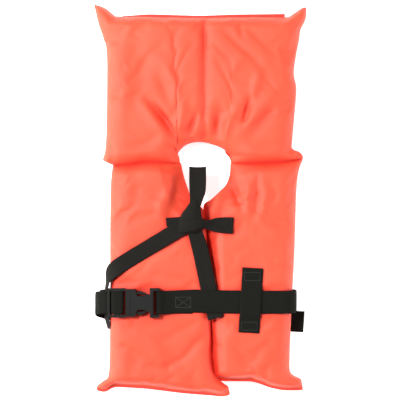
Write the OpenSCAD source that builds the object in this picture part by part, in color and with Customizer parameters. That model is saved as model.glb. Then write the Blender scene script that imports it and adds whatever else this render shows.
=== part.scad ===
// Keyhole life jacket, lying flat on its back: a stuffed collar, two stuffed front panels,
// a waist belt with a side-release buckle and a tie tape. Millimetres, +Z up, +Y to the collar.
// The origin is on the surface it lies on, in the middle of its outline.

/* [Cushions] */
// Thickness of the stuffed collar and panels
cushion_t = 50; // [47:1:50]
// Left edge of the collar, from the middle line
collar_left = 154; // [153:1:158]
// Right edge of the collar, from the middle line
collar_right = 157; // [155:1:160]
// Top edge of the collar
collar_top = 303; // [296:1:306]
// Line across the shoulders where the collar folds on the panels
shoulder_y = 60; // [58:1:62]
// Bottom edge of the front panels, below the origin
panel_bottom = 303; // [300:1:306]
// Thickness of the coated cover cloth with its lining
cover_t = 1.6; // [1.2:0.1:2]

/* [Neck] */
// Half of the neck hole's width
neck_half_w = 44; // [40:1:46]
// Height of the neck hole above the shoulder line
neck_rise = 34; // [30:1:36]
// Depth of the neck hole below the shoulder line
neck_drop = 65; // [60:1:68]

/* [Webbing] */
// Width of the waist belt's webbing
belt_w = 37.5; // [36:0.5:38]
// Thickness of the waist belt's webbing
belt_t = 1.6; // [1.4:0.1:1.6]
// Width of the tie tape
tape_w = 26; // [25:0.5:27]
// Thickness of the tie tape
tape_t = 1.4; // [1.2:0.1:1.4]

/* [Buckle] */
// Width over the buckle's side rails
buckle_w = 47.8; // [47.6:0.1:48.4]
// Thickness of the buckle
buckle_t = 13; // [12.6:0.1:13]

/* [Hidden] */
mid_z = cushion_t / 2;
neck_x = 7;                 // middle of the neck hole
seam_gap = 0.8;             // half the thickness of the seam allowance between two covers
edge_round = 18;            // how far a cushion's face stands back from its side seam
seam_v = 30;                // how far a face stands back from the shoulder line, for the fold
shoulder_gap = 1.5;         // from the fold's axis to the seam allowance on each side
foam_t = 11.6;              // one slab of foam, three to a cushion
foam_gap = 0.3;
panel_lift = 4;             // how far the belt and its tail hold the panels' backs up
ring_steps = 5;             // rings of points between a cover's seam and its face
belt_y = -167;              // middle of the belt on the front and on the back
front_z = cushion_t + 1.2;  // middle of a tape that lies on the front
back_z = 2.8;               // middle of the belt's run behind the panels
tail_z = 0.8;               // middle of the belt's tail, under that run
buckle_z = cushion_t + 7;   // middle plane of the buckle
$fn = 32;

// ---- vectors and outlines ----

function unit(v) = v / norm(v);

// Points of an ellipse's arc, in order from angle a to angle b
function arc(x, y, rx, ry, a, b, steps) =
    [for (i = [0:steps]) let (t = a + (b - a) * i / steps) [x + rx * cos(t), y + ry * sin(t)]];

// Left panel, standing back by side from its seams and by seam from the shoulder line
function left_outline(side, seam) =
    let (
        rx = neck_half_w + side,
        ry = neck_drop + side,
        top = shoulder_y - shoulder_gap - seam,
        inner = 4 - side,
        from = 180 + asin((shoulder_y - top) / ry),
        to = 180 + acos((neck_x - inner) / rx),
        r = 14
    )
    concat(
        arc(-148 + side + r, -panel_bottom + side + r, r, r, 180, 270, 3),
        arc(17 - side - r, -panel_bottom + side + r, r, r, 270, 360, 3),
        arc(neck_x, shoulder_y, rx, ry, to, from, 7),
        [[-147 + side, top]]
    );

// Right panel, standing back in the same way
function right_outline(side, seam) =
    let (
        rx = neck_half_w + side,
        ry = neck_drop + side,
        top = shoulder_y - shoulder_gap - seam,
        inner = 10 + side,
        from = 360 - acos((inner - neck_x) / rx),
        to = 360 - asin((shoulder_y - top) / ry),
        r = 14
    )
    concat(
        arc(21 + side + r, -panel_bottom + 5 + side + r, r, r, 180, 270, 3),
        arc(149 - side - r, -panel_bottom + 5 + side + r, r, r, 270, 360, 3),
        [[159 - side, top]],
        arc(neck_x, shoulder_y, rx, ry, to, from, 7)
    );

// Half of the collar; hand is -1 for the left half and 1 for the right half
function collar_outline(hand, side, seam) =
    let (
        rx = neck_half_w + side,
        ry = neck_rise + side,
        low = shoulder_y + shoulder_gap + seam,
        inner = 1 + side,
        outer = hand < 0 ? collar_left + neck_x : collar_right - neck_x,
        reach = min(0.98, (low - shoulder_y) / ry),
        half = arc(0, shoulder_y, rx, ry, acos(inner / rx), asin(reach), 7),
        points = concat(
            [[outer - side, low]],
            arc(outer - side - 10, collar_top - side - 10, 10, 10, 0, 90, 3),
            [[inner, collar_top - side]],
            half
        ),
        count = len(points)
    )
    [for (i = [0:count - 1])
        let (p = hand > 0 ? points[i] : points[count - 1 - i]) [neck_x + hand * p[0], p[1]]];

function outline(name, side, seam) =
    name == "panel_left" ? left_outline(side, seam)
    : name == "panel_right" ? right_outline(side, seam)
    : name == "collar_left" ? collar_outline(-1, side, seam)
    : collar_outline(1, side, seam);

// ---- closed skins ----

// Triangles between two rings of a list of points, that start at a and at b
function strip(a, b, count) =
    [for (i = [0:count - 1])
        let (j = (i + 1) % count)
        each [[a + i, b + i, b + j], [a + i, b + j, a + j]]];

// A tray, open below: rings of points from the rim to the face, outside and inside
module tray(outer, inner) {
    count = len(outer[0]);
    last = len(outer) - 1;
    within = count * (last + 1);
    polyhedron(
        points = concat([for (ring = outer) each ring], [for (ring = inner) each ring]),
        faces = concat(
            [for (k = [0:last - 1]) each strip(k * count, (k + 1) * count, count)],
            [[for (i = [count - 1:-1:0]) last * count + i]],
            [for (k = [0:last - 1]) each strip(within + (k + 1) * count, within + k * count, count)],
            [[for (i = [0:count - 1]) within + last * count + i]],
            strip(within, 0, count)
        )
    );
}

// One ring of a cushion's skin, height above the middle plane; in is a step inwards
function skin_ring(name, height, in, depth) =
    let (
        lift = min(1, height / (depth - in)),
        side = in + edge_round * (1 - sqrt(1 - lift * lift)),
        seam = 1.7 * in + seam_v * height / mid_z
    )
    [for (p = outline(name, side, seam)) [p[0], p[1], height]];

// Rings from the seam to the face, closer together near the face
function skin(name, in, depth) =
    [for (i = [0:ring_steps])
        let (height = seam_gap + (depth - in - seam_gap) * sin(90 * i / ring_steps))
        skin_ring(name, height, in, depth)];

// Half of a cushion's cover, open at the seam; face is 1 for the front and -1 for the back
module half_cover(name, face, depth) {
    color("tomato")
        translate([0, 0, mid_z])
            mirror([0, 0, face > 0 ? 0 : 1])
                tray(skin(name, 0, depth), skin(name, cover_t, depth));
}

module front_cover(name) {
    half_cover(name, 1, mid_z);
}

module collar_back_cover(name) {
    half_cover(name, -1, mid_z);
}

module panel_back_cover(name) {
    half_cover(name, -1, mid_z - panel_lift);
}

// One slab of foam; level is -1, 0 or 1 from the back to the front
module foam_slab(name, level) {
    side = level == 0 ? 13 : 20;
    seam = level == 0 ? 17 : 33;
    color("ghostwhite")
        translate([0, 0, mid_z + level * (foam_t + foam_gap) - foam_t / 2])
            linear_extrude(height = foam_t) polygon(outline(name, side, seam));
}

// ---- seam allowances with the corner ears ----

module seam_plate() {
    translate([0, 0, mid_z - seam_gap]) linear_extrude(height = 2 * seam_gap) children();
}

module panel_left_seam() {
    color("orangered") seam_plate() difference() {
        union() {
            polygon(outline("panel_left", -2, 0));
            polygon([[-152, -280], [-170, -307], [-170, -317], [-158, -318], [-120, -306]]);
            polygon([[-10, -304], [17, -299], [47, -313], [48, -323.5], [34, -324], [0, -312]]);
        }
        polygon(outline("panel_left", 10, 14));
    }
}

module panel_right_seam() {
    color("orangered") seam_plate() difference() {
        polygon(concat(
            [[30, -298], [48, -302], [120, -301], [140, -314], [169.5, -315], [168, -295]],
            [[151.5, -282], [161, shoulder_y - shoulder_gap]],
            arc(neck_x, shoulder_y, neck_half_w - 1, neck_drop - 1, 355, 280, 7),
            [[17.6, -30], [18.6, -290]]
        ));
        polygon(outline("panel_right", 10, 14));
    }
}

module collar_seam() {
    low = shoulder_y + shoulder_gap;
    color("orangered") seam_plate() difference() {
        union() {
            polygon(concat(
                [[collar_right + 2, low], [collar_right + 2, collar_top + 2]],
                [[-collar_left - 2, collar_top + 2], [-collar_left - 2, low]],
                arc(neck_x, shoulder_y, neck_half_w - 1, neck_rise - 1, 177, 3, 14)
            ));
            polygon([[-154, 250], [-176.5, 324], [-140, 300]]);
            polygon([[158, 255], [174, 298], [176.5, 317], [170, 317], [140, 300]]);
            polygon([[-154, low], [-161, 71], [-155, 90]]);
            polygon([[157, low], [171, 72], [166, 78], [157, 84]]);
        }
        polygon(outline("collar_left", 10, 14));
        polygon(outline("collar_right", 10, 14));
    }
}

// ---- webbing ----

// A flat band along a route. Each stop is [x, y, z, nx, ny, nz]: a place and the way the
// band's outer face looks there.
module band(stops, width, thick) {
    last = len(stops) - 1;
    place = [for (s = stops) [s[0], s[1], s[2]]];
    along = [for (i = [0:last]) unit(place[min(i + 1, last)] - place[max(i - 1, 0)])];
    across = [for (i = [0:last]) unit(cross([stops[i][3], stops[i][4], stops[i][5]], along[i]))];
    out = [for (i = [0:last]) cross(along[i], across[i])];
    corners = [for (i = [0:last])
        for (c = [[-1, -1], [-1, 1], [1, 1], [1, -1]])
            place[i] + across[i] * width / 2 * c[0] + out[i] * thick / 2 * c[1]];
    polyhedron(
        points = corners,
        faces = concat(
            [[3, 2, 1, 0]],
            [for (k = [0:last - 1], c = [0:3])
                let (d = (c + 1) % 4)
                each [
                    [4 * k + c, 4 * (k + 1) + d, 4 * (k + 1) + c],
                    [4 * k + c, 4 * k + d, 4 * (k + 1) + d]
                ]],
            [[4 * last, 4 * last + 1, 4 * last + 2, 4 * last + 3]]
        )
    );
}

// Stops along a turn about a line parallel to Y, facing away from that line
function turn(x, y, z, r, a, b, steps) =
    [for (i = [0:steps]) let (t = a + (b - a) * i / steps)
        [x + r * cos(t), y, z + r * sin(t), cos(t), 0, sin(t)]];

socket_bar_x = -68;         // outer bar of the socket, that the belt is sewn round
lower_z = front_z;          // layer of the belt's folded end
upper_z = front_z + 2.1;    // layer of the belt's front run, over the folded end

module belt_front_run() {
    color("#262626")
        band(concat(
            [[-12, belt_y, lower_z, 0, 0, -1], [-58, belt_y, lower_z, 0, 0, -1]],
            turn(socket_bar_x, belt_y, buckle_z, 3.9, 300, 60, 8),
            [[-56, belt_y, upper_z + 2.2, 0, 0, 1], [-44, belt_y, upper_z, 0, 0, 1]],
            [[120, belt_y, upper_z, 0, 0, 1], [138, belt_y, upper_z - 0.6, 0, 0, 1]]
        ), belt_w, belt_t);
}

module belt_side_run() {
    color("#262626")
        band([
            [138.4, belt_y, upper_z - 0.6, 0, 0, 1],
            [148, belt_y, 50, 0.6, 0, 0.8],
            [155, belt_y, 42.5, 0.9, 0, 0.4],
            [158.5, belt_y, 31, 1, 0, 0.1],
            [158.5, belt_y, 20, 1, 0, -0.1],
            [156, belt_y, 9, 0.9, 0, -0.4],
            [150, belt_y, 4.2, 0.5, 0, -0.8],
            [140.4, belt_y, back_z, 0, 0, -1]
        ], belt_w, belt_t);
}

module belt_back_run() {
    color("#262626")
        translate([-119.6, belt_y - belt_w / 2, back_z - belt_t / 2]) cube([259.6, belt_w, belt_t]);
}

// The end of the belt is folded round the socket's bar and sewn down with a crossed box
module belt_box_stitch() {
    color("black")
        translate([-27.5, belt_y, upper_z + belt_t / 2])
            crossed_box(25, 17);
}

module crossed_box(length, height) {
    thread = 0.9;
    translate([0, 0, 0.2]) {
        for (side = [-1, 1]) {
            translate([0, side * height / 2, 0]) cube([length, thread, 0.4], center = true);
            translate([side * length / 2, 0, 0]) cube([thread, height, 0.4], center = true);
            rotate([0, 0, side * atan(height / length)])
                cube([norm([length, height]) - 1, thread, 0.4], center = true);
        }
    }
}

module belt_keeper() {
    over = upper_z + 2;
    color("#262626")
        band([
            [79.8, -217, front_z, 0, 0, 1], [81.2, -194, front_z, 0, 0, 1],
            [81.6, -188.5, over, 0, 0, 1], [84.2, -146, over, 0, 0, 1],
            [84.6, -140.5, front_z, 0, 0, 1], [86.4, -111, front_z, 0, 0, 1]
        ], 34, belt_t);
}

module keeper_stitch() {
    color("black")
        for (place = [[80.6, -206], [85.6, -125]])
            translate([place[0], place[1], front_z + belt_t / 2 + 0.2])
                difference() {
                    cube([26, 14, 0.4], center = true);
                    cube([24.2, 12.2, 1], center = true);
                }
}

// The loaded side of the webbing: round the left side, under the plug, up through its inner
// slot, over the grip bar and down through the outer slot
module belt_wrap() {
    color("#2b2b2b")
        band([
            [-120, belt_y, back_z, 0, 0, -1],
            [-145, belt_y, back_z, -0.1, 0, -1],
            [-155.4, belt_y, 6.4, -0.5, 0, -0.8],
            [-162.5, belt_y, 12, -0.9, 0, -0.4],
            [-165, belt_y, 24, -1, 0, 0],
            [-164, belt_y, 36, -1, 0, 0.2],
            [-159.5, belt_y, 46, -0.7, 0, 0.7],
            [-152, belt_y, 51.4, -0.3, 0, 0.9],
            [-144, belt_y, 52.4, 0, 0, 1],
            [-129, belt_y, 52.4, 0, 0, 1],
            [-125.8, belt_y, 53.4, -0.7, 0, 0.7],
            [-124.8, belt_y, 56, -1, 0, 0],
            [-124.8, belt_y, 59.6, -1, 0, 0],
            [-125.8, belt_y, 61.8, -0.7, 0, -0.7],
            [-128.6, belt_y, 62.6, 0, 0, -1],
            [-140, belt_y, 62.6, 0, 0, -1],
            [-143, belt_y, 61.8, 0.7, 0, -0.7],
            [-144.2, belt_y, 59.6, 1, 0, 0],
            [-144.2, belt_y, 57.6, 1, 0, 0]
        ], belt_w, belt_t);
}

// The free side of the webbing, from the plug's end bar round the left side to the back
module belt_tail_wrap() {
    color("#2b2b2b")
        band([
            [-144.4, belt_y, 56.6, 1, 0, 0],
            [-145.6, belt_y, 55.2, 0.7, 0, 0.7],
            [-148, belt_y, 54.6, 0, 0, 1],
            [-154, belt_y, 53.6, -0.2, 0, 1],
            [-162, belt_y - 1, 48.4, -0.7, 0, 0.7],
            [-167.4, belt_y - 2, 38, -1, 0, 0.2],
            [-168.6, belt_y - 4, 24, -1, 0, 0],
            [-165.6, belt_y - 8, 10, -0.9, 0, -0.4],
            [-158.8, belt_y - 11, 3, -0.5, 0, -0.8],
            [-150.5, belt_y - 14, tail_z, 0, 0, -1],
            [-140.4, belt_y - 16, tail_z, 0, 0, -1]
        ], belt_w, belt_t);
}

module belt_tail() {
    color("#2b2b2b")
        band([
            [-136, belt_y - 16, tail_z, 0, 0, -1],
            [173, belt_y - 36, tail_z, 0, 0, -1]
        ], 35, belt_t);
}

// ---- buckle ----

plug_root_x = -117;         // pivots of the plug's two arms
root_y = 17;                // distance of each pivot from the buckle's middle line
mouth_x = -113;             // open end of the socket
wall_y = 19.5;              // inner face of the mouth's side walls
hook_x = -100;              // back of each arm's hook, 6 mm ahead of the side wall
cavity_t = buckle_t - 4.2;
arm_t = 7.4;

module buckle_place() {
    translate([0, belt_y - 0.5, buckle_z]) children();
}

module slab(x1, x2, half_y, thick) {
    translate([x1, -half_y, -thick / 2]) cube([x2 - x1, 2 * half_y, thick]);
}

module buckle_socket() {
    color("#1c1c1c") buckle_place() difference() {
        linear_extrude(height = buckle_t, center = true)
            polygon([
                [mouth_x, -22.4], [-106, -22.4], [-102, -11], [-90, -11], [-86, -14],
                [-81.5, -14], [-81.5, -buckle_w / 2], [-66, -buckle_w / 2],
                [-66, buckle_w / 2], [-81.5, buckle_w / 2], [-81.5, 14], [-86, 14],
                [-90, 11], [-102, 11], [-106, 22.4], [mouth_x, 22.4]
            ]);
        slab(mouth_x - 1, -86, wall_y, cavity_t);
        translate([-76, -19.6, -10]) cube([6, 39.2, 20]);
        translate([-76.2, -19.6, 2.1]) cube([20, 39.2, 10]);
        translate([-76.2, -19.6, -12.1]) cube([20, 39.2, 10]);
    }
}

module buckle_plug() {
    rail = (buckle_w - 39.2) / 2;
    color("#1c1c1c") buckle_place() {
        difference() {
            slab(-121, mouth_x - 0.3, 22.4, 11);
            for (side = [-1, 1]) {
                translate([plug_root_x, side * root_y, 0])
                    cylinder(h = 9, r = 2.4, center = true);
                translate([plug_root_x, min(side * 13.6, side * 19), -4.5]) cube([6, 5.4, 9]);
            }
        }
        for (side = [-1, 1])
            translate([-151, side > 0 ? 19.6 : -19.6 - rail, -2]) cube([30.1, rail, 7]);
        translate([-151, -19.7, -0.6]) cube([4, 39.4, 4.4]);
        translate([-140.6, -19.7, 0]) cube([10.8, 39.4, 4.2]);
        translate([mouth_x - 0.4, -3, -2.5]) cube([23, 6, 5]);
    }
}

// One springy arm of the plug, with its thumb pad and hook; side is 1 or -1
module arm(side) {
    color("#202020") buckle_place() mirror([0, side > 0 ? 0 : 1, 0])
        linear_extrude(height = arm_t, center = true) {
            translate([plug_root_x, root_y]) circle(r = 2);
            polygon([
                [plug_root_x, root_y - 1.6], [-104, 14.6], [-96, 14.4], [-88, 12.6],
                [-88, 15.4], [-94, 18.4], [hook_x, wall_y + 0.7], [hook_x, 18.4],
                [-104, 17.6], [plug_root_x, root_y + 1.6]
            ]);
        }
}

module buckle_arm_upper() {
    arm(1);
}

module buckle_arm_lower() {
    arm(-1);
}

// ---- tie tape ----

knot = [-8, -38, 59];       // middle of the knot

module tie_tape_long() {
    color("#262626")
        band([
            [-27, -44, 55.6, 0, 0, 1],
            [-42, -52.5, 54.6, 0, 0, 1],
            [-60, -63.5, 53.4, 0, 0, 1],
            [-74, -72, front_z, 0, 0, 1],
            [-104, -90, front_z, 0, 0, 1],
            [-127, -104, 51.5, 0, 0, 1],
            [-136.5, -110.3, 51.5, -0.3, 0, 1],
            [-144.8, -116.6, 46.8, -0.7, 0, 0.7],
            [-151.4, -124, 38.4, -0.9, 0, 0.4],
            [-151.9, -138, 30, -1, 0, 0],
            [-151.7, -165, 24, -1, 0, 0],
            [-151.5, -196, 20.5, -1, 0, 0]
        ], tape_w, tape_t);
}

module tie_tape_short() {
    color("#262626")
        band([
            [-7, -54, 53.4, 0, 0, 1],
            [-2, -72, front_z + 0.2, 0, 0, 1],
            [2, -88, front_z, 0, 0, 1],
            [13, -140, front_z, 0, 0, 1],
            [19, -167, front_z, 0, 0, 1],
            [26, -194, front_z, 0, 0, 1]
        ], tape_w, tape_t);
}

module tie_knot() {
    color("#222222")
        translate(knot)
            hull()
                for (x = [-1, 1], y = [-1, 1])
                    translate([x * 11, y * 8, 0]) rotate_extrude($fn = 20)
                        polygon([[0, -7.4], [4, -6.6], [6.4, 0], [4, 6.6], [0, 7.4]]);
}

module tie_loop() {
    color("#262626")
        band([
            [-7, -21, 57.6, 0, 0, 1],
            [-5, -6, 53.6, 0, 0.1, 1],
            [-4, 20, 47.4, 0, 0.2, 1],
            [-4, 47, 40.4, 0, 0.2, 1],
            [-4, 52.2, 40.6, 0, -0.3, 1],
            [-4, 54.4, 43.2, 0, -1, 0],
            [-4, 52.8, 45.9, 0, -0.5, -0.8],
            [-4, 48.4, 47.2, 0, -0.2, -1],
            [-4, 20, 54.4, 0, -0.2, -1],
            [-5, -6, 60.2, 0, -0.1, -1],
            [-7, -21, 61.2, 0, 0, -1]
        ], tape_w, tape_t);
}

module tie_end_left() {
    color("#262626")
        band([
            [-26.5, -32, 52.4, 0, 0, 1],
            [-38, -33, front_z, 0, 0, 1],
            [-57, -35, front_z, 0, 0, 1]
        ], 15, tape_t);
}

module tie_end_right() {
    color("#262626")
        band([
            [10.5, -40, 57, 0, 0, 1],
            [26, -40.5, 54, 0, 0, 1],
            [40, -41, 52.4, 0, 0, 1],
            [54, -41.5, 51.6, 0, 0, 1]
        ], tape_w, tape_t);
}

// ---- nodes ----

front_cover("panel_left");  // panel_left_front_cover
panel_back_cover("panel_left");  // panel_left_back_cover
panel_left_seam();
foam_slab("panel_left", 1);  // panel_left_foam_front
foam_slab("panel_left", 0);  // panel_left_foam_middle
foam_slab("panel_left", -1);  // panel_left_foam_back
front_cover("panel_right");  // panel_right_front_cover
panel_back_cover("panel_right");  // panel_right_back_cover
panel_right_seam();
foam_slab("panel_right", 1);  // panel_right_foam_front
foam_slab("panel_right", 0);  // panel_right_foam_middle
foam_slab("panel_right", -1);  // panel_right_foam_back
front_cover("collar_left");  // collar_left_front_cover
collar_back_cover("collar_left");  // collar_left_back_cover
front_cover("collar_right");  // collar_right_front_cover
collar_back_cover("collar_right");  // collar_right_back_cover
collar_seam();
foam_slab("collar_left", 1);  // collar_left_foam_front
foam_slab("collar_left", 0);  // collar_left_foam_middle
foam_slab("collar_left", -1);  // collar_left_foam_back
foam_slab("collar_right", 1);  // collar_right_foam_front
foam_slab("collar_right", 0);  // collar_right_foam_middle
foam_slab("collar_right", -1);  // collar_right_foam_back
belt_front_run();
belt_side_run();
belt_back_run();
belt_box_stitch();
belt_keeper();
keeper_stitch();
belt_wrap();
belt_tail_wrap();
belt_tail();
buckle_socket();
buckle_plug();
buckle_arm_upper();
buckle_arm_lower();
tie_tape_long();
tie_tape_short();
tie_knot();
tie_loop();
tie_end_left();
tie_end_right();
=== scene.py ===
import math

import bpy
import numpy as np
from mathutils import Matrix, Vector


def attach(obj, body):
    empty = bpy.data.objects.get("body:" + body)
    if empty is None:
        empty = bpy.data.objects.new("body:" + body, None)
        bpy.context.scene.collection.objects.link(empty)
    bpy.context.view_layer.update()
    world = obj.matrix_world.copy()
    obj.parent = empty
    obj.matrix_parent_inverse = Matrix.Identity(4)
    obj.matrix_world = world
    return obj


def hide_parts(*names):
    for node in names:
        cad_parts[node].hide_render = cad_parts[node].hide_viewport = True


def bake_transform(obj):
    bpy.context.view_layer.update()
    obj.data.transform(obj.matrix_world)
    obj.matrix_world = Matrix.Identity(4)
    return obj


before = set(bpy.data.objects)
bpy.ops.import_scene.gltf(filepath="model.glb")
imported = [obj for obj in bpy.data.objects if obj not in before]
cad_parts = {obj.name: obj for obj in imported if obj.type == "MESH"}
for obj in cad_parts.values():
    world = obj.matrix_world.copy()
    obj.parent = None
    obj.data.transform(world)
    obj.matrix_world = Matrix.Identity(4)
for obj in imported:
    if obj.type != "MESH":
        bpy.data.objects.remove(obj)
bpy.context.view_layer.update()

MM = 0.001
MID_Z = 25.0            # middle plane of the cushions, in mm
scene = bpy.context.scene
scene.view_settings.view_transform = "Standard"


# ---- camera: looks straight down on the jacket's front ----

VIEW_WIDTH = 0.660      # what the frame spans at the cushions' middle plane
EYE_HEIGHT = 2.6

camera = bpy.data.objects.new("camera", bpy.data.cameras.new("camera"))
scene.collection.objects.link(camera)
camera.location = (0, 0, EYE_HEIGHT)
camera.data.sensor_width = 36
camera.data.lens = 36 * (EYE_HEIGHT - MID_Z * MM) / VIEW_WIDTH
scene.camera = camera


# ---- outlines and surfaces, in millimetres ----

def smooth(points, closeness=4.0):
    """A smooth line through the points, as closely spaced samples."""
    p = np.array(points, float)
    if len(p) < 3:
        steps = max(2, int(np.linalg.norm(p[-1] - p[0]) / closeness))
        return p[0] + (p[-1] - p[0]) * np.linspace(0, 1, steps + 1)[:, None]
    ends = np.vstack([2 * p[0] - p[1], p, 2 * p[-1] - p[-2]])
    out = []
    for a, b, c, d in zip(ends[:-3], ends[1:-2], ends[2:-1], ends[3:]):
        t = np.linspace(0, 1, max(3, int(np.linalg.norm(c - b) / closeness)), endpoint=False)[:, None]
        out.append(0.5 * (2 * b + (c - a) * t + (2 * a - 5 * b + 4 * c - d) * t ** 2
                          + (3 * b - a - 3 * c + d) * t ** 3))
    return np.vstack(out + [p[-1:]])


def side(stretches, count):
    """One side of an outline, smooth along each stretch, as evenly spaced points."""
    line = np.vstack([smooth(s) for s in stretches])
    steps = np.concatenate([[0], np.cumsum(np.linalg.norm(np.diff(line, axis=0), axis=1))])
    at = np.linspace(0, steps[-1], count)
    return np.stack([np.interp(at, steps, line[:, k]) for k in range(line.shape[1])], 1)


def patch(bottom, right, top, left):
    """A grid of points between four sides: [row from bottom to top, column from left to right]."""
    rows, columns = len(left), len(bottom)
    u = np.linspace(0, 1, columns)[None, :, None]
    v = np.linspace(0, 1, rows)[:, None, None]
    ruled = (1 - v) * bottom[None] + v * top[None] + (1 - u) * left[:, None] + u * right[:, None]
    corners = ((1 - u) * (1 - v) * bottom[0] + u * (1 - v) * bottom[-1]
               + (1 - u) * v * top[0] + u * v * top[-1])
    return ruled - corners


def along(points, line):
    """Distance of each point from a line, and how far along the line it is, from 0 to 1."""
    best = np.full(len(points), 1e9)
    place = np.zeros(len(points))
    for i, (a, b) in enumerate(zip(line[:-1], line[1:])):
        d = b - a
        t = np.clip(((points - a) @ d) / max(d @ d, 1e-9), 0, 1)
        far = np.linalg.norm(points - a - t[:, None] * d, axis=1)
        nearer = far < best
        best[nearer] = far[nearer]
        place[nearer] = (i + t[nearer]) / (len(line) - 1)
    return best, place


def distance(points, line):
    """Distance from each point of a grid to a line of closely spaced points."""
    return along(points.reshape(-1, 2), line)[0].reshape(points.shape[:-1])


def rounded(d, reach, power):
    """How full the cushion is at a distance from a seam: 0 on it and 1 from reach inwards."""
    t = np.clip(d / reach, 0, 1)
    return (1 - (1 - t) ** power) ** (1 / power)


# Stretches of the cushions' outlines. Each is smooth, and the outline turns a corner between two.
SHOULDER_LEFT = [(-144, 57), (-112, 58), (-81, 62), (-31, 59)]
SHOULDER_RIGHT = [(50, 60), (100, 60), (150, 63), (171, 70)]
NECK_LEFT = [(5, -14), (-6, -5), (-15, 7), (-20, 20), (-26, 38), (-31, 59)]
NECK_RIGHT = [(6, -8), (9, -4), (17, 0), (31, 13), (43, 26), (49, 43), (50, 60)]
NECK_TOP = [(-31, 59), (-38, 69), (-35, 79), (-25, 89), (-13, 94), (4, 95), (18, 92), (34, 86), (47, 77),
            (51, 68), (50, 60)]
MIDDLE_SEAM = [(6, 95), (6, 150), (6.5, 220), (7, 301)]
LEFT_HEM = [[(-171, -314), (-157, -317), (-141, -308)], [(-141, -308), (-90, -311), (-33, -318),
                                                         (12, -322)],
            [(12, -322), (36, -324), (49, -321)]]
LEFT_INNER = [[(49, -321), (47, -307)], [(47, -307), (34, -297), (24, -280), (20, -240), (18, -190),
                                         (14, -100),
              (10, -40), (5, -14)]]
LEFT_OUTER = [[(-171, -314), (-170, -307), (-158, -297)], [(-158, -297), (-150, -280), (-148.5, -160),
              (-148.5, -46), (-147, 30), (-144, 57)]]
RIGHT_HEM = [[(14, -297), (38, -299), (86, -299)], [(86, -299), (102, -304), (114, -309), (139, -314),
                                                    (170, -314)]]
RIGHT_OUTER = [[(170, -314), (167, -295)], [(167, -295), (150, -285), (148, -259), (152, -160),
                                            (156, -82),
               (159, 12), (163, 48), (171, 70)]]
RIGHT_INNER = [(14, -297), (13, -240), (11, -190), (8, -100), (5, -30), (6, -8)]
COLLAR_EAR = [(-161, 66), (-144, 57)]
COLLAR_TOP = [[(-175, 323), (-157, 317), (-140, 303)], [(-140, 303), (-60, 302), (8, 301), (80, 302),
                                                        (146, 302)],
              [(146, 302), (170, 318), (176, 317)]]
COLLAR_LEFT = [(-161, 66), (-156, 88), (-154, 150), (-154, 240), (-160, 268), (-168, 292), (-175, 323)]
COLLAR_RIGHT = [[(171, 70), (165, 78), (151, 84)], [(151, 84), (155, 130), (159, 183), (155, 213),
                                                    (164, 268),
                (166, 281), (174, 298), (176, 317)]]

# How a cushion meets a seam: how far inwards it reaches its full thickness, how round its
# shoulder is, what share of the thickness is left on the seam, how high the seam lies, and how
# wide the flat hem is.
PINCHED = (36, 2.3, 0.03, 0, 0)
HEMMED = (17, 2.3, 0.03, 0, 5)
TOPPED = (20, 2.2, 0.03, 0, 2)
SLOPING = (38, 1.7, 0.03, 0, 0)
SHOULDER = (20, 1.45, 0.38, 0, 0)

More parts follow.
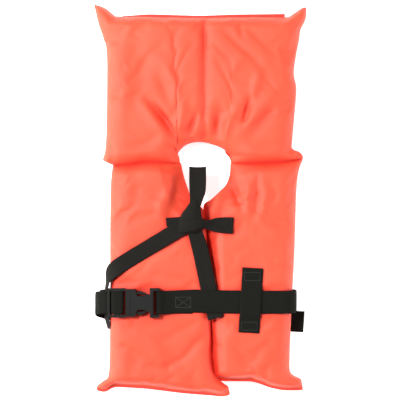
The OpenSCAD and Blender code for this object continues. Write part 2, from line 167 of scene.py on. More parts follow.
CUSHIONS = {
    "panel_left": {
        "bottom": LEFT_HEM, "right": LEFT_INNER + [NECK_LEFT], "top": [SHOULDER_LEFT], "left": LEFT_OUTER,
        "seams": [(HEMMED, LEFT_HEM), ((24, 2.6, 0.03, 6, 0), LEFT_INNER),
                  ((36, 1.12, 0.03, 0, 0), [NECK_LEFT]),
                  (SHOULDER, [SHOULDER_LEFT]), (PINCHED, LEFT_OUTER)],
        "grid": (40, 84),
        "nodes": ("panel_left_front_cover", "panel_left_back_cover"),
        # folds: a line, how far it stands up or is pressed in, and its half width
        "folds": [([(-46, 54), (-50, 15), (-64, -9), (-60, -38)], 4.5, 7),
                  ([(-36, 44), (-40, 5), (-46, -38)], -6, 14),
                  ([(-112, 58), (-104, 20), (-112, -20)], -1.6, 10),
                  ([(-60, -238), (-30, -265), (-22, -290)], -1.5, 9),
                  ([(-92, -204), (-70, -246), (-64, -280)], 1.5, 11),
                  ([(-128, -230), (-112, -262), (-116, -300)], -1.8, 9)],
    },
    "panel_right": {
        "bottom": RIGHT_HEM, "right": RIGHT_OUTER, "top": [SHOULDER_RIGHT],
        "left": [RIGHT_INNER, NECK_RIGHT],
        "seams": [(HEMMED, RIGHT_HEM), (PINCHED, RIGHT_OUTER), (SHOULDER, [SHOULDER_RIGHT]),
                  ((30, 1.2, 0.03, -6, 0), [RIGHT_INNER]), ((42, 1.3, 0.03, 0, 0), [NECK_RIGHT])],
        "grid": (40, 82),
        "nodes": ("panel_right_front_cover", "panel_right_back_cover"),
        "folds": [([(50, 34), (58, 14), (68, -16)], -8.0, 5), ([(72, 42), (78, 10), (78, -24)], 3.6, 6),
                  ([(92, 48), (94, 16), (92, -22)], -4.0, 6), ([(106, 26), (104, -4), (98, -34)], 3.2, 7),
                  ([(124, 30), (132, -30), (128, -100)], -1.8, 12),
                  ([(60, -232), (72, -262), (66, -290)], -1.6, 9),
                  ([(110, -222), (122, -258), (112, -292)], -1.8, 9)],
    },
    "collar": {
        "bottom": [COLLAR_EAR, SHOULDER_LEFT, NECK_TOP, SHOULDER_RIGHT], "right": COLLAR_RIGHT,
        "top": COLLAR_TOP, "left": [COLLAR_LEFT],
        "seams": [(SHOULDER, [SHOULDER_LEFT, SHOULDER_RIGHT]), (SLOPING, [NECK_TOP]),
                  (PINCHED, [COLLAR_RIGHT[1]]),
                  (TOPPED, COLLAR_TOP), (PINCHED, [COLLAR_LEFT])],
        "grid": (78, 56),
        "nodes": ("collar_left_front_cover", "collar_left_back_cover",
                  "collar_right_front_cover", "collar_right_back_cover"),
        "folds": [([(-86, 166), (-66, 142), (-50, 119), (-36, 96)], -12, 6),
                  ([(-96, 158), (-72, 128), (-56, 96)], 4.0, 8),
                  ([(-24, 166), (-32, 134), (-31, 106)], 6.0, 6),
                  ([(-2, 146), (-16, 118), (-17, 102)], -10, 5),
                  ([(-59, 226), (-42, 190), (-34, 158)], 3.0, 7),
                  ([(-72, 210), (-58, 182), (-48, 150)], -2.4, 8),
                  ([(30, 152), (30, 124), (26, 100)], -11, 11),
                  ([(60, 152), (46, 124), (40, 100)], 6.0, 5),
                  ([(82, 172), (77, 148), (71, 122)], -9.0, 5),
                  ([(134, 190), (96, 148), (66, 110)], 6.0, 8),
                  ([(100, 216), (90, 186), (84, 160)], 4.0, 6), ([(76, 244), (46, 206)], 2.4, 9),
                  ([(124, 152), (98, 124), (80, 102)], -4.5, 8),
                  ([(-110, 268), (-94, 214), (-106, 160)], -2.6, 14),
                  ([(140, 276), (124, 230), (132, 180)], -2.2, 12), ([(162, 262), (150, 240)], -5, 7),
                  ([(-138, 236), (-126, 180), (-134, 120)], 2.0, 12),
                  ([(-60, 110), (-90, 92), (-124, 88)], -2.6, 7),
                  ([(70, 96), (106, 88), (140, 92)], -2.6, 7)],
    },
}
BELT_Y = -167.0         # the belt's middle line

# Routes of the webbing and tape. Each stop is (x, y, z) and the way the outer face looks there,
# and a seventh number, if there is one, is the width in mm.
FRONT = 51.2            # middle of a tape that lies on the front
UPPER = 53.3            # middle of the belt's front run, over its folded end
BACK_Z = 2.8            # middle of the belt's run behind the panels
TAIL_Z = 0.85           # middle of the belt's free tail, under that run
BELT_W, TAPE_W = 37.5, 26.0
BELT_T, TAPE_T = 1.6, 1.4


def turn(x, y, z, r, a, b, steps=8):
    """Stops round a bar parallel to Y."""
    t = np.radians(np.linspace(a, b, steps + 1))
    return [(x + r * c, y, z + r * s, c, 0, s) for c, s in zip(np.cos(t), np.sin(t))]


BELT_FRONT = ([(-12, BELT_Y, FRONT, 0, 0, -1), (-57, BELT_Y, FRONT, 0, 0, -1)]
              + turn(-68, BELT_Y - 0.6, 57, 3.9, 300, 60)
              + [(-57, BELT_Y - 0.4, 55.6, 0, 0, 1), (-44, BELT_Y + 0.4, UPPER, 0, 0, 1),
                 (-10, BELT_Y + 2.2, UPPER, 0, 0, 1),
                 (40, BELT_Y + 0.8, UPPER, 0, 0, 1), (90, BELT_Y, UPPER, 0, 0, 1),
                 (138, BELT_Y, 52.7, 0, 0, 1),
                 (148, BELT_Y, 49.6, 0.6, 0, 0.8), (155, BELT_Y, 42.5, 0.9, 0, 0.4),
                 (158.6, BELT_Y, 31, 1, 0, 0.1),
                 (158.6, BELT_Y, 20, 1, 0, -0.1), (156, BELT_Y, 9, 0.9, 0, -0.4),
                 (149, BELT_Y, 4, 0.5, 0, -0.8),
                 (138, BELT_Y, BACK_Z, 0, 0, -1), (120, BELT_Y, BACK_Z, 0, 0, -1)])
BELT_LOADED = [(119, BELT_Y, BACK_Z, 0, 0, -1), (60, BELT_Y, BACK_Z, 0, 0, -1),
               (0, BELT_Y, BACK_Z, 0, 0, -1),
               (-60, BELT_Y, BACK_Z, 0, 0, -1), (-120, BELT_Y, BACK_Z, 0, 0, -1),
               (-145, BELT_Y, 3, -0.1, 0, -1),
               (-155.4, BELT_Y, 6.4, -0.5, 0, -0.8), (-162.5, BELT_Y, 12, -0.9, 0, -0.4),
               (-165, BELT_Y, 24, -1, 0, 0),
               (-164, BELT_Y, 36, -1, 0, 0.2), (-159.5, BELT_Y, 46, -0.7, 0, 0.7),
               (-152, BELT_Y, 51.2, -0.3, 0, 0.9),
               (-144, BELT_Y, 52.2, 0, 0, 1), (-129, BELT_Y, 52.2, 0, 0, 1),
               (-125.8, BELT_Y, 53.4, -0.7, 0, 0.7),
               (-124.9, BELT_Y, 56, -1, 0, 0), (-124.9, BELT_Y, 59.6, -1, 0, 0),
               (-126, BELT_Y, 61.9, -0.7, 0, -0.7),
               (-128.6, BELT_Y, 62.6, 0, 0, -1), (-140, BELT_Y, 62.6, 0, 0, -1),
               (-143, BELT_Y, 61.9, 0.7, 0, -0.7),
               (-144.1, BELT_Y, 59.6, 1, 0, 0), (-144.2, BELT_Y, 57.2, 1, 0, 0)]
BELT_FREE = [(-144.3, BELT_Y, 56.8, 1, 0, 0), (-145.4, BELT_Y, 55.3, 0.7, 0, 0.7),
             (-148, BELT_Y, 54.6, 0, 0, 1),
             (-155, BELT_Y, 53.6, -0.2, 0, 1), (-165, BELT_Y - 1, 48.4, -0.7, 0, 0.7),
             (-171, BELT_Y - 2, 38, -1, 0, 0.2),
             (-172.6, BELT_Y - 4, 24, -1, 0, 0), (-168.6, BELT_Y - 8, 10, -0.9, 0, -0.4),
             (-159.6, BELT_Y - 11, 3, -0.5, 0, -0.8), (-150.5, BELT_Y - 14, TAIL_Z, 0, 0, -1),
             (-136, BELT_Y - 16, TAIL_Z, 0, 0, -1, 35.5), (-60, BELT_Y - 21, TAIL_Z, 0, 0, -1, 35),
             (0, BELT_Y - 25, TAIL_Z, 0, 0, -1, 35), (60, BELT_Y - 28.7, TAIL_Z, 0, 0, -1, 35),
             (120, BELT_Y - 32.6, TAIL_Z, 0, 0, -1, 35), (173, BELT_Y - 36, TAIL_Z, 0, 0, -1, 35)]
KEEPER = [(79.8, -217, FRONT, 0, 0, 1), (81, -196, FRONT, 0, 0, 1), (81.7, -188, 54.4, 0, 0, 1),
          (82.2, -182, 55.3, 0, 0, 1),
          (83.8, -152, 55.3, 0, 0, 1), (84.2, -146, 54.4, 0, 0, 1), (84.8, -138, FRONT, 0, 0, 1),
          (86.4, -111, FRONT, 0, 0, 1)]
TIE_LONG = [(-22, -41, 56, 0, 0, 1, 24), (-42, -52.5, 54.6, 0, 0, 1), (-60, -63.5, 52.6, 0, 0, 1),
            (-74, -72, FRONT, 0, 0, 1),
            (-104, -90, FRONT, 0, 0, 1), (-127, -104, 51.5, 0, 0, 1), (-136.5, -110.3, 51, -0.3, 0, 1),
            (-144.8, -116.6, 46.8, -0.7, 0, 0.7), (-151.4, -124, 38.4, -0.9, 0, 0.4),
            (-153, -138, 30, -0.98, 0, 0.2),
            (-155, -165, 24, -0.93, 0, 0.36), (-155, -190, 21.5, -0.93, 0, 0.36),
            (-149.8, -213, 20, -0.95, 0, 0.3)]
TIE_SHORT = [(-12, -44, 55.6, 0, 0, 1, 20), (-7, -56, 53.4, 0, 0, 1, 24), (-2, -72, 51.4, 0, 0, 1),
             (2, -88, FRONT, 0, 0, 1),
             (13, -140, FRONT, 0, 0, 1), (19, -167, FRONT, 0, 0, 1), (26, -193.5, FRONT, 0, 0, 1)]
TIE_LOOP = [(-8, -26, 58.4, 0, 0, 1, 17), (-7, -10, 55.4, 0, 0.1, 1, 16), (-6, 2, 52, 0, 0.2, 1, 17),
            (-4, 14, 48.6, 0, 0.2, 1, 26), (-3.8, 30, 44.4, 0, 0.2, 1, 28),
            (-3.8, 47, 40.4, 0, 0.2, 1, 28),
            (-3.8, 52.2, 40.6, 0, -0.3, 1, 28), (-3.8, 54.8, 43.2, 0, -1, 0, 28),
            (-3.8, 52.8, 45.9, 0, -0.5, -0.8, 28),
            (-3.8, 47.4, 47.4, 0, -0.2, -1, 28), (-3.8, 30, 51.8, 0, -0.2, -1, 28),
            (-4, 14, 56, 0, -0.2, -1, 27),
            (-5.6, 3, 58.6, 0, -0.1, -1, 22), (-8, -10, 61, 0, 0, -1, 17), (-10, -26, 61.4, 0, 0, -1, 22)]
END_LEFT = [(-24, -33, 55, 0.1, 0.2, 1, 14), (-38, -34.6, 52.6, 0, 0.1, 1, 13),
            (-55, -36.4, FRONT, 0, 0, 1, 14)]
END_RIGHT = [(2, -39, 60, 0, -0.2, 1, 13), (12, -40, 57.4, 0, -0.3, 1, 15),
             (22, -40.6, 55, 0, -0.1, 1, 22),
             (36, -41, 53.4, 0, 0, 1, 26), (54, -41.8, 52.4, 0, 0, 1, 27)]
# Seam allowances that show at the hems and above the collar; their darker red is painted shade
HEM_LEFT = [(-167, -311.6, 26.4, 0, 0, 1, 3), (-157, -313, 26.6, 0, 0, 1, 6),
            (-141, -305, 26.6, 0, 0, 1, 6),
            (-90, -309.4, 26.4, 0, 0, 1, 3), (-33, -315.6, 26.6, 0, 0, 1, 5),
            (12, -319, 26.6, 0, 0, 1, 6),
            (34, -321, 26.6, 0, 0, 1, 4)]
HEM_RIGHT = [(40, -298, 26.4, 0, 0, 1, 2), (86, -297.4, 26.6, 0, 0, 1, 3.5),
             (102, -301.4, 26.6, 0, 0, 1, 5),
             (114, -306, 26.6, 0, 0, 1, 6), (139, -311, 26.6, 0, 0, 1, 6),
             (163, -311.6, 26.6, 0, 0, 1, 5)]
HEM_TOP = [(-128, 302, 24, 0, 0, 1, 3), (-84, 303.6, 24, 0, 0, 1, 6), (0, 301.6, 24, 0, 0, 1, 5),
           (60, 303, 24, 0, 0, 1, 6.5),
           (140, 303.6, 24, 0, 0, 1, 7)]
# The knot: the band round the loop's foot, the turn over it and the one under it
KNOT_NECK = [(-6.5, 0, 59.6, 0, 0, 1, 16), (-8, -6, 62.6, 0, 0.1, 1, 18), (-11, -18, 65.4, 0, 0, 1, 27),
             (-14, -29, 65.6, 0, 0, 1, 36),
             (-15, -37, 63.2, 0, -0.3, 1, 38), (-15, -43, 58, 0, -0.8, 0.6, 34)]
KNOT_OVER = [(-36, -44, 54.4, -0.6, 0, 1, 20), (-31, -43, 59.5, -0.5, 0, 1, 21),
             (-21, -41.4, 63.6, -0.2, 0, 1, 22),
             (-9, -40, 65, 0, 0, 1, 21), (1, -38.8, 63, 0.5, 0, 1, 17), (8, -38, 58.4, 0.9, 0, 0.5, 14)]
KNOT_UNDER = [(-30, -42, 54, -0.5, -0.3, 0.8, 14), (-22, -47, 59, -0.2, -0.4, 1, 16),
              (-11, -49, 61.4, 0, -0.4, 1, 16),
              (-1, -47, 59.4, 0.4, -0.4, 1, 14), (5, -44, 55, 0.8, -0.2, 0.5, 12)]
PRESSING = [(BELT_FRONT[11:16], BELT_W), (KEEPER, 34), (TIE_LONG[1:8], TAPE_W), (TIE_SHORT, TAPE_W),
            (END_LEFT, 15),
            (END_RIGHT[2:], 27), ([(-150, BELT_Y - 1), (-60, BELT_Y - 1)], 48)]

FRONT_RISE = 24.0       # from the middle plane to the front face
BACK_DROP = 23.6        # from the middle plane to the back face
FRONT_LIMIT = 54.0      # the loose cloth's highest folds
PRESSED = 50.1          # height of the front under the belt and tapes
BACK_LIMIT = 0.6        # the cloth's lowest point, just above the floor
BELT_GAP = 4.3          # room under the panels for the belt and its tail
SEAM_SPREAD = 16        # how far from a seam its own height is felt
FRONT_FOLDS, BACK_FOLDS = 27, 23            # heights where folds begin, so that the seams stay still
FOLD_FADE = 12                              # and the depth over which they come in
MIDDLE_X, MIDDLE_DIP, BACK_DIP = 6, 9, 7    # the collar's middle seam, and how deep it is drawn in
GAP_Y, GAP_HALF, GAP_FADE = -187, 44, 18    # the stretch of the back that lies on the belt
TUCK_REACH, TUCK = 3, 2.5                   # the panels' top edge is tucked under the collar
BELTED_Y, BELTED_HALF = -165, 70            # the stretch of the sides that the belt draws in
LEFT_DRAWN, RIGHT_DRAWN = -149.8, 156
GROW, PRESSURE, CAP, SIM_FRAMES = 0.02, 2.0, 1.7, 20    # how the cloth is swollen; CAP is in mm


def cushion_points(c):
    """The front and back sheets of a cushion as two grids of points, and how full it is."""
    columns, rows = c["grid"]
    sides = {k: side(c[k], columns if k in ("bottom", "top") else rows) for k in ("bottom", "right",
                                                                                  "top", "left")}
    flat = patch(sides["bottom"], sides["right"], sides["top"], sides["left"])
    full = np.ones(flat.shape[:2])
    middle = np.full(flat.shape[:2], MID_Z)
    for (reach, power, left, off, hem), stretches in c["seams"]:
        d = np.min([distance(flat, smooth(stretch)) for stretch in stretches], axis=0)
        full = full * (left + (1 - left) * rounded(np.maximum(d - hem, 0), reach, power))
        middle += off * np.exp(-(d / SEAM_SPREAD) ** 2)
    front = np.dstack([flat, middle + (MID_Z + FRONT_RISE - middle) * full])
    back = np.dstack([flat, middle - (middle - MID_Z + BACK_DROP) * full])
    return front, back, full


def soft_limit(z, limit, softness):
    """z, kept below limit with a soft bend."""
    return limit - softness * np.logaddexp(0, (limit - z) / softness)


def eased(t):
    t = np.clip(t, 0, 1)
    return t * t * (3 - 2 * t)


def shape_cloth(obj, c, count):
    """Presses the folds into the front and keeps the cloth clear of the webbing and the floor."""
    co = coordinates(obj) / MM
    front, back = co[:count], co[count:]

    def above_seam():
        return np.clip((front[:, 2] - FRONT_FOLDS) / FOLD_FADE, 0, 1)

    for points, depth, half_width in c["folds"]:
        far, place = along(front[:, :2], smooth(points))
        ends = np.sin(np.pi * np.clip(place, 0.04, 0.96)) ** 0.7
        front[:, 2] += depth * np.exp(-(far / half_width) ** 2) * ends * above_seam()
    if c is CUSHIONS["collar"]:
        off = front[:, 0] - MIDDLE_X
        dip = np.exp(-(np.abs(off) / np.where(off < 0, 3.2, 6.5)) ** 1.2)
        front[:, 2] -= MIDDLE_DIP * dip * above_seam()
        back_far, _ = along(back[:, :2], smooth(MIDDLE_SEAM))
        rise = np.clip((BACK_FOLDS - back[:, 2]) / FOLD_FADE, 0, 1)
        back[:, 2] += BACK_DIP * np.exp(-(back_far / 5) ** 1.4) * rise
    free = np.ones(count)
    for stops, width in PRESSING:
        far, _ = along(front[:, :2], np.array([s[:2] for s in stops], float))
        free = np.minimum(free, eased((far - width / 2 - 1) / 12))
    front[:, 2] = soft_limit(front[:, 2], PRESSED + (FRONT_LIMIT - PRESSED) * free, 0.7)
    off_belt = eased((np.abs(back[:, 1] - GAP_Y) - GAP_HALF) / GAP_FADE)
    lowest = BACK_LIMIT + (BELT_GAP - BACK_LIMIT) * (1 - off_belt) * (c is not CUSHIONS["collar"])
    back[:, 2] = -soft_limit(-back[:, 2], -lowest, 0.5)
    if c is not CUSHIONS["collar"]:
        tucked = np.min([distance(co[:, :2], smooth(s)) for s in (SHOULDER_LEFT, SHOULDER_RIGHT)],
                        axis=0) < TUCK_REACH
        co[tucked, 1] += TUCK
    belted = np.abs(co[:, 1] - BELTED_Y) < BELTED_HALF
    if c is CUSHIONS["panel_left"]:
        co[belted, 0] = np.maximum(co[belted, 0], LEFT_DRAWN)
    if c is CUSHIONS["panel_right"]:
        co[belted, 0] = np.minimum(co[belted, 0], RIGHT_DRAWN)
    move_points(obj, co * MM)


def sheet_pair(name, front, back):
    """One closed mesh of the two sheets, with a narrow wall between them along the outline."""
    rows, columns = front.shape[:2]
    f = np.arange(rows * columns).reshape(rows, columns)
    b = f + rows * columns
    points = np.vstack([front.reshape(-1, 3), back.reshape(-1, 3)]) * MM

    def quads(p, q, r, s):
        return np.stack([p, q, r, s], -1).reshape(-1, 4).tolist()

    faces = quads(f[:-1, :-1], f[:-1, 1:], f[1:, 1:], f[1:, :-1])
    faces += quads(b[1:, :-1], b[1:, 1:], b[:-1, 1:], b[:-1, :-1])
    faces += quads(f[0, 1:], f[0, :-1], b[0, :-1], b[0, 1:])
    faces += quads(f[-1, :-1], f[-1, 1:], b[-1, 1:], b[-1, :-1])
    faces += quads(f[:-1, 0], f[1:, 0], b[1:, 0], b[:-1, 0])
    faces += quads(f[1:, -1], f[:-1, -1], b[:-1, -1], b[1:, -1])
    mesh = bpy.data.meshes.new(name)
    mesh.from_pydata(points.tolist(), [], faces)
    mesh.update()
    obj = bpy.data.objects.new(name, mesh)
    scene.collection.objects.link(obj)
    mesh.polygons.foreach_set("use_smooth", [True] * len(mesh.polygons))
    return obj


def coordinates(obj):
    co = np.zeros(len(obj.data.vertices) * 3, np.float32)
    obj.data.vertices.foreach_get("co", co)
    return co.reshape(-1, 3).astype(float)


def move_points(obj, co):
    obj.data.vertices.foreach_set("co", co.astype(np.float32).ravel())
    obj.data.update()


def puff(obj, hold, still):
    """Swells loose cloth over the cushion, so that it wrinkles. No point moves more than CAP,
    and the points that still marks with 0 stay where they are."""
    rest = coordinates(obj)
    group = obj.vertex_groups.new(name="hold")
    for i, w in enumerate(hold):
        group.add([i], float(w), "REPLACE")
    cloth = obj.modifiers.new("cloth", "CLOTH")
    s = cloth.settings
    s.quality = 6
    s.mass = 0.15
    s.tension_stiffness = 40
    s.compression_stiffness = 25
    s.shear_stiffness = 8
    s.bending_stiffness = 0.4
    s.air_damping = 2
    s.use_pressure = True
    s.uniform_pressure_force = PRESSURE
    s.shrink_min = -GROW
    s.shrink_max = -GROW
    s.vertex_group_mass = "hold"
    s.pin_stiffness = 1.0
    s.effector_weights.gravity = 0
    cloth.collision_settings.use_collision = False
    cloth.point_cache.frame_start = 1
    cloth.point_cache.frame_end = SIM_FRAMES
    for f in range(1, SIM_FRAMES + 1):
        scene.frame_set(f)
    done = obj.evaluated_get(bpy.context.evaluated_depsgraph_get())
    swollen = np.array([v.co for v in done.data.vertices])
    obj.modifiers.remove(cloth)
    obj.vertex_groups.remove(group)
    scene.frame_set(1)
    step = swollen - rest
    length = np.linalg.norm(step, axis=1, keepdims=True)
    step = step * np.minimum(1, CAP * MM / np.maximum(length, 1e-9)) * still[:, None]
    move_points(obj, rest + step)


def make_cushion(name):
    """A cushion's cover: its outline and fullness, swollen, then folded and pressed."""
    c = CUSHIONS[name]
    front, back, full = cushion_points(c)
    obj = sheet_pair(name + "_cover", front, back)
    shoulder = np.min([distance(front[..., :2], smooth(s)) for s in (SHOULDER_LEFT, SHOULDER_RIGHT)],
                      axis=0)
    still = np.clip(shoulder / 12, 0, 1).ravel()
    hold = 0.9 - 0.8 * np.clip(full.ravel() * 3, 0, 1)
    puff(obj, np.tile(hold, 2), np.tile(still, 2))
    shape_cloth(obj, c, full.size)
    return obj


def route(stops, width, step=1.6, soft=2.6):
    """Closely spaced stops along a route, its corners rounded: place, outward way and width."""
    p = np.array([tuple(s) + (width,) * (7 - len(s)) for s in stops], float)
    run = np.concatenate([[0], np.cumsum(np.linalg.norm(np.diff(p[:, :3], axis=0), axis=1))])
    count = max(4, int(run[-1] / step) + 1)
    at = np.linspace(0, run[-1], count)
    q = np.stack([np.interp(at, run, p[:, k]) for k in range(7)], 1)
    reach = int(3 * soft / step)
    ahead = [2 * q[0] - q[min(k, count - 1)] for k in range(reach, 0, -1)]
    behind = [2 * q[-1] - q[max(count - 1 - k, 0)] for k in range(1, reach + 1)]
    padded = np.vstack([ahead, q, behind])
    weight = np.exp(-0.5 * (np.arange(-reach, reach + 1) * step / soft) ** 2)
    weight /= weight.sum()
    return sum(w * padded[k:k + count] for k, w in enumerate(weight)), at


def ribbon(name, stops, width, thick=BELT_T, crown=0.0, across=12, soft=2.6, ripple=0.0, seed=1):
    """A band of webbing or tape along a route, with soft edges, as one closed mesh. Its UVs are
    centimetres across and along. crown bends its edges down, by that share of its width."""
    q, at = route(stops, width, soft=soft)
    place, out, wide = q[:, :3], q[:, 3:6], q[:, 6]
    ahead = np.gradient(place, axis=0)
    ahead /= np.linalg.norm(ahead, axis=1, keepdims=True)
    aside = np.cross(out, ahead)
    aside /= np.linalg.norm(aside, axis=1, keepdims=True)
    out = np.cross(ahead, aside)
    u = np.linspace(-1, 1, across + 1)
    half = 0.5 * thick * np.maximum(1 - np.abs(u) ** 8, 0) ** 0.5
    half = np.maximum(half, 0.12 * thick)
    rng = np.random.default_rng(seed)
    wave = sum(np.sin(at[:, None] / (7 + 5 * k) + u * (1 + k) + rng.uniform(0, 6)) for k in range(3)) / 3
    bend = -crown * wide[:, None] * u ** 2 + ripple * wave
    rings = []
    for face, order in ((1, slice(None)), (-1, slice(None, None, -1))):
        high = (bend + face * half)[:, order]
        over = aside[:, None] * (u[order] * wide[:, None] / 2)[..., None]
        rings.append(place[:, None] + over + out[:, None] * high[..., None])
    rings = np.concatenate(rings, axis=1)
    count, around = rings.shape[:2]
    faces = [(i * around + j, i * around + (j + 1) % around, (i + 1) * around + (j + 1) % around,
              (i + 1) * around + j)
             for i in range(count - 1) for j in range(around)]
    faces += [tuple(range(around - 1, -1, -1)), tuple((count - 1) * around + j for j in range(around))]
    mesh = bpy.data.meshes.new(name)
    mesh.from_pydata((rings.reshape(-1, 3) * MM).tolist(), [], [f[::-1] for f in faces])
    mesh.update()
    places = np.concatenate([u, u[::-1]])
    uv = mesh.uv_layers.new(name="weave")
    corner = np.zeros(len(mesh.loops), np.int32)
    mesh.loops.foreach_get("vertex_index", corner)
    flat = np.stack([places[corner % around] * width / 20, at[corner // around] / 10], 1)
    uv.data.foreach_set("uv", flat.ravel())
    mesh.polygons.foreach_set("use_smooth", [True] * (len(mesh.polygons) - 2) + [False] * 2)
    obj = bpy.data.objects.new(name, mesh)
    scene.collection.objects.link(obj)
    return obj


# ---- materials ----

def material(name):
    m = bpy.data.materials.new(name)
    m.use_nodes = True
    return m, m.node_tree.nodes, m.node_tree.links


def set_inputs(node, **values):
    for key, value in values.items():
        node.inputs[key.replace("_", " ")].default_value = value


def math_node(nodes, links, kind, a, b=None):
    node = nodes.new("ShaderNodeMath")
    node.operation = kind
    for socket, value in zip(node.inputs, (a, b)):
        if hasattr(value, "links"):
            links.new(value, socket)
        elif value is not None:
            socket.default_value = value
    return node.outputs[0]


def bump(nodes, links, height, strength, depth):
    node = nodes.new("ShaderNodeBump")
    set_inputs(node, Strength=strength, Distance=depth)
    links.new(height, node.inputs["Height"])
    links.new(node.outputs[0], nodes["Principled BSDF"].inputs["Normal"])


def ramp(nodes, links, factor, low, high, start=0.0, end=1.0):
    node = nodes.new("ShaderNodeValToRGB")
    node.color_ramp.elements[0].position = start
    node.color_ramp.elements[1].position = end
    node.color_ramp.elements[0].color = low
    node.color_ramp.elements[1].color = high
    links.new(factor, node.inputs[0])
    links.new(node.outputs[0], nodes["Principled BSDF"].inputs["Base Color"])


def noise(nodes, links, scale, detail=3):
    where = nodes.new("ShaderNodeTexCoord")
    node = nodes.new("ShaderNodeTexNoise")
    set_inputs(node, Scale=scale, Detail=detail)
    links.new(where.outputs["Object"], node.inputs["Vector"])
    return node.outputs[0]


def paint_fold_shade(nodes, links, shade_colour, reach):
    """Painted shade: an ambient occlusion node darkens the cloth's colour where it faces itself, in a
    fold or along a seam.
    """
    surface = nodes["Principled BSDF"].inputs["Base Color"]
    base = surface.links[0].from_socket
    fold_occlusion = nodes.new("ShaderNodeAmbientOcclusion")
    fold_occlusion.samples = 8
    fold_occlusion.inputs["Distance"].default_value = reach
    shade = nodes.new("ShaderNodeValToRGB")
    shade.color_ramp.elements[0].position = 0.45
    shade.color_ramp.elements[0].color = shade_colour
    shade.color_ramp.elements[1].position = 0.97
    shade.color_ramp.elements[1].color = (1, 1, 1, 1)
    links.new(fold_occlusion.outputs["AO"], shade.inputs[0])
    shaded_base = nodes.new("ShaderNodeMix")
    shaded_base.data_type = "RGBA"
    shaded_base.blend_type = "MULTIPLY"
    shaded_base.inputs["Factor"].default_value = 1
    links.new(base, shaded_base.inputs["A"])
    links.new(shade.outputs[0], shaded_base.inputs["B"])
    links.new(shaded_base.outputs["Result"], surface)


def cover_cloth():
    """Coated nylon: a soft sheen, a fine plain weave, a slightly uneven orange and painted shade in its
    folds and along its seams.
    """
    m, nodes, links = material("cover_cloth")
    set_inputs(nodes["Principled BSDF"], Roughness=0.62, Sheen_Weight=0.14, Sheen_Roughness=0.4,
               Sheen_Tint=(1, 0.7, 0.55, 1), Specular_IOR_Level=0.5)
    ramp(nodes, links, noise(nodes, links, 9), (0.92, 0.078, 0.032, 1), (0.96, 0.098, 0.043, 1), 0.3, 0.7)
    # painted shade: the orange is darkened towards this colour where ambient occlusion within 35 mm finds
    # cloth facing cloth
    paint_fold_shade(nodes, links, (0.82, 0.34, 0.3, 1), 0.035)
    where = nodes.new("ShaderNodeTexCoord")
    split = nodes.new("ShaderNodeSeparateXYZ")
    links.new(where.outputs["Object"], split.inputs[0])
    threads = [math_node(nodes, links, "SINE", math_node(nodes, links, "MULTIPLY", split.outputs[k],
                                                         5200)) for k in (0, 1)]
    weave = math_node(nodes, links, "MULTIPLY", *threads)
    grain = math_node(nodes, links, "MULTIPLY", noise(nodes, links, 260, 2), 3)
    bump(nodes, links, math_node(nodes, links, "ADD", weave, grain), 0.25, 0.00012)
    return m


def webbing(name, rib, low, high, depth):
    """Woven black webbing: rows of slanting ribs that meet in chevrons."""
    m, nodes, links = material(name)
    set_inputs(nodes["Principled BSDF"], Roughness=0.85, Specular_IOR_Level=0.08)
    where = nodes.new("ShaderNodeUVMap")
    where.uv_map = "weave"
    split = nodes.new("ShaderNodeSeparateXYZ")
    links.new(where.outputs[0], split.inputs[0])
    fold = math_node(nodes, links, "PINGPONG", split.outputs[0], 0.45)
    slant = math_node(nodes, links, "ADD", split.outputs[1], fold)
    rows = math_node(nodes, links, "SINE", math_node(nodes, links, "MULTIPLY", slant, 20 * math.pi / rib))
    uneven = math_node(nodes, links, "MULTIPLY", noise(nodes, links, 320, 2), 1.2)
    height = math_node(nodes, links, "ADD", rows, uneven)
    bump(nodes, links, height, 0.5, depth)
    # painted shade: the colour follows the ribs' height, darker in the hollows and lighter on the tops,
    # with random unevenness from the noise
    ramp(nodes, links, math_node(nodes, links, "MULTIPLY_ADD", height, 0.25), low, high, 0.0, 1.0)
    return m


def plastic():
    m, nodes, links = material("buckle_plastic")
    set_inputs(nodes["Principled BSDF"], Roughness=0.36, Specular_IOR_Level=0.35)
    ramp(nodes, links, noise(nodes, links, 60), (0.005, 0.0058, 0.0052, 1), (0.009, 0.0100, 0.0088, 1))
    bump(nodes, links, noise(nodes, links, 900, 2), 0.12, 0.0001)
    return m


def plain(name, low, high, roughness, scale, depth):
    m, nodes, links = material(name)
    set_inputs(nodes["Principled BSDF"], Roughness=roughness)
    grain = noise(nodes, links, scale)
    ramp(nodes, links, grain, low, high, 0.3, 0.7)
    bump(nodes, links, grain, 0.4, depth)
    return m


cloth = cover_cloth()
belt_webbing = webbing("belt_webbing", 2.0, (0.005, 0.0052, 0.0042, 1), (0.014, 0.0144, 0.0115, 1),
                       0.0003)
tie_tape = webbing("tie_tape", 1.6, (0.006, 0.0055, 0.0047, 1), (0.020, 0.0185, 0.0160, 1), 0.0003)
thread = plain("thread", (0.003, 0.003, 0.0025, 1), (0.008, 0.008, 0.007, 1), 0.6, 900, 0.0002)
foam = plain("foam", (0.72, 0.7, 0.66, 1), (0.82, 0.8, 0.76, 1), 0.9, 500, 0.0004)
# painted shade: the seam allowances are real, but their red is darker than the cover's for the shade
# under the cushions' edges
seam_cloth = plain("seam_cloth", (0.62, 0.036, 0.02, 1), (0.78, 0.05, 0.026, 1), 0.6, 300, 0.0003)
buckle_plastic = plastic()

# ---- cushions ----


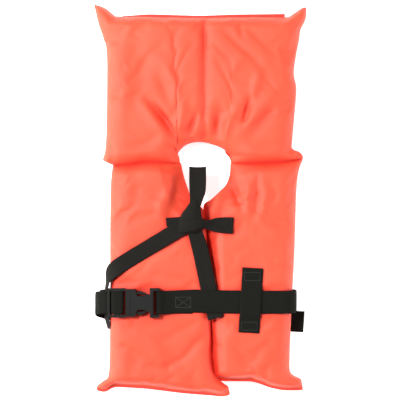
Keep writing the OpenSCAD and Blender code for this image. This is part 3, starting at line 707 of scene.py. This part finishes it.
def foam_slabs(name, cover):
    """Three slabs of foam in each cushion, squeezed to the shape that the cover gives them."""
    columns, rows = CUSHIONS[name]["grid"]
    co = coordinates(cover).reshape(2, rows, columns, 3) / MM
    front, back = co[0], co[1]
    blocks = {name: (slice(6, -6), slice(6, -6))}
    if name == "collar":
        middle = columns // 2
        blocks = {"collar_left": (slice(7, -6), slice(6, middle - 3)),
                  "collar_right": (slice(7, -6), slice(middle + 3, -6))}
    slabs = []
    for block, where in blocks.items():
        for level, place in enumerate(("back", "middle", "front")):
            low, high = [back[where] + (front[where] - back[where]) * t for t in (0.05 + 0.3 * level,
                                                                                  0.33 + 0.3 * level)]
            slab = sheet_pair(block + "_foam_" + place + "_slab", high, low)
            slab.data.polygons.foreach_set("use_smooth", [False] * len(slab.data.polygons))
            slab.data.materials.append(foam)
            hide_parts(block + "_foam_" + place)
            slabs.append(slab)
    return slabs


for name in CUSHIONS:
    cover = make_cushion(name)
    cover.data.materials.append(cloth)
    smooth_more = cover.modifiers.new("subdivision", "SUBSURF")
    smooth_more.levels = smooth_more.render_levels = 1
    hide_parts(*CUSHIONS[name]["nodes"], name + "_seam")
    for piece in [cover] + foam_slabs(name, cover):
        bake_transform(piece)

# ---- seams, belt and tapes ----

def strap(obj, finish, nodes, bodies):
    obj.data.materials.append(finish)
    if nodes:
        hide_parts(*nodes)
    if len(bodies) == 2:
        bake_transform(obj)
    else:
        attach(obj, bodies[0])


# the hem strips, in seam cloth whose darker red is painted shade
for name, hem, body in (("panel_left", HEM_LEFT, "jacket"), ("panel_right", HEM_RIGHT, "jacket"),
                        ("collar", HEM_TOP, "collar")):
    strap(ribbon(name + "_hem", hem, 6, TAPE_T, soft=5, ripple=0.3, seed=11), seam_cloth, (), [body])
strap(ribbon("belt_front", BELT_FRONT, BELT_W, ripple=0.15), belt_webbing,
      ("belt_front_run", "belt_side_run"), ["jacket"])
strap(ribbon("belt_loaded", BELT_LOADED, BELT_W, soft=1.6), belt_webbing, ("belt_back_run", "belt_wrap"),
      ["jacket", "plug"])
strap(ribbon("belt_free", BELT_FREE, BELT_W, soft=1.6), belt_webbing, ("belt_tail_wrap", "belt_tail"),
      ["plug", "tail"])
strap(ribbon("keeper", KEEPER, 34, ripple=0.12), belt_webbing, ("belt_keeper",), ["jacket"])
strap(ribbon("tie_long", TIE_LONG, TAPE_W, TAPE_T, soft=4, ripple=0.2, seed=3), tie_tape,
      ("tie_tape_long",), ["jacket"])
strap(ribbon("tie_short", TIE_SHORT, TAPE_W, TAPE_T, ripple=0.2, seed=4), tie_tape, ("tie_tape_short",),
      ["jacket"])
strap(ribbon("tie_bow", TIE_LOOP, TAPE_W, TAPE_T, crown=0.04), tie_tape, ("tie_loop",), ["jacket"])
strap(ribbon("tie_stub", END_LEFT, 14, TAPE_T, crown=0.05), tie_tape, ("tie_end_left",), ["jacket"])
strap(ribbon("tie_end", END_RIGHT, TAPE_W, TAPE_T, crown=-0.04, ripple=0.5, seed=5), tie_tape,
      ("tie_end_right",), ["jacket"])
strap(ribbon("knot_neck", KNOT_NECK, 26, 2.0, crown=0.16, ripple=0.5, seed=6), tie_tape, ("tie_knot",),
      ["jacket"])
strap(ribbon("knot_over", KNOT_OVER, 20, 2.2, crown=0.1, ripple=0.7, seed=7), tie_tape, (), ["jacket"])
strap(ribbon("knot_under", KNOT_UNDER, 16, 2.6, crown=0.2, ripple=0.4, seed=8), tie_tape, (), ["jacket"])

# ---- buckle and stitches ----

for node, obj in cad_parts.items():
    if "stitch" in node:
        finish = thread
    elif "buckle" in node:
        finish = buckle_plastic
        edges = obj.modifiers.new("rounded edges", "BEVEL")
        edges.width = 1.2 * MM
        edges.segments = 3
        edges.limit_method = "ANGLE"
        edges.angle_limit = math.radians(35)
    else:
        continue
    obj.data.materials.clear()
    obj.data.materials.append(finish)

# ---- floor and light ----

floor_mesh = bpy.data.meshes.new("floor")
FLOOR = 30      # half the width of the floor, in metres
floor_mesh.from_pydata([(-FLOOR, -FLOOR, 0), (FLOOR, -FLOOR, 0), (FLOOR, FLOOR, 0), (-FLOOR, FLOOR, 0)],
                       [], [(0, 1, 2, 3)])
floor = bpy.data.objects.new("floor", floor_mesh)
scene.collection.objects.link(floor)
white, nodes, _ = material("floor_white")
set_inputs(nodes["Principled BSDF"], Base_Color=(0.9, 0.9, 0.9, 1), Roughness=0.9,
           Emission_Color=(1, 1, 1, 1), Emission_Strength=0.8)
floor_mesh.materials.append(white)

world = bpy.data.worlds.new("studio")
scene.world = world
world.use_nodes = True
sky, sky_links = world.node_tree.nodes, world.node_tree.links
where = sky.new("ShaderNodeTexCoord")
split = sky.new("ShaderNodeSeparateXYZ")
shade = sky.new("ShaderNodeValToRGB")
sky_links.new(where.outputs["Generated"], split.inputs[0])
sky_links.new(split.outputs[2], shade.inputs[0])
sky_links.new(shade.outputs[0], sky["Background"].inputs["Color"])
shade.color_ramp.elements[0].position = 0.05
shade.color_ramp.elements[0].color = (0.62, 0.62, 0.62, 1)
shade.color_ramp.elements[1].position = 0.45
shade.color_ramp.elements[1].color = (0.2, 0.2, 0.2, 1)


def lamp(name, location, size, power):
    data = bpy.data.lights.new(name, "AREA")
    data.shape = "DISK"
    data.size = size
    data.energy = power
    obj = bpy.data.objects.new(name, data)
    scene.collection.objects.link(obj)
    obj.location = location
    obj.rotation_euler = (-Vector(location)).to_track_quat("-Z", "Y").to_euler()


lamp("left_box", (-2.6, -0.1, 1.1), 0.8, 62)
lamp("right_box", (2.6, -0.4, 1.1), 1.0, 40)
lamp("top_box", (-1.1, 0.5, 2.1), 0.5, 56)
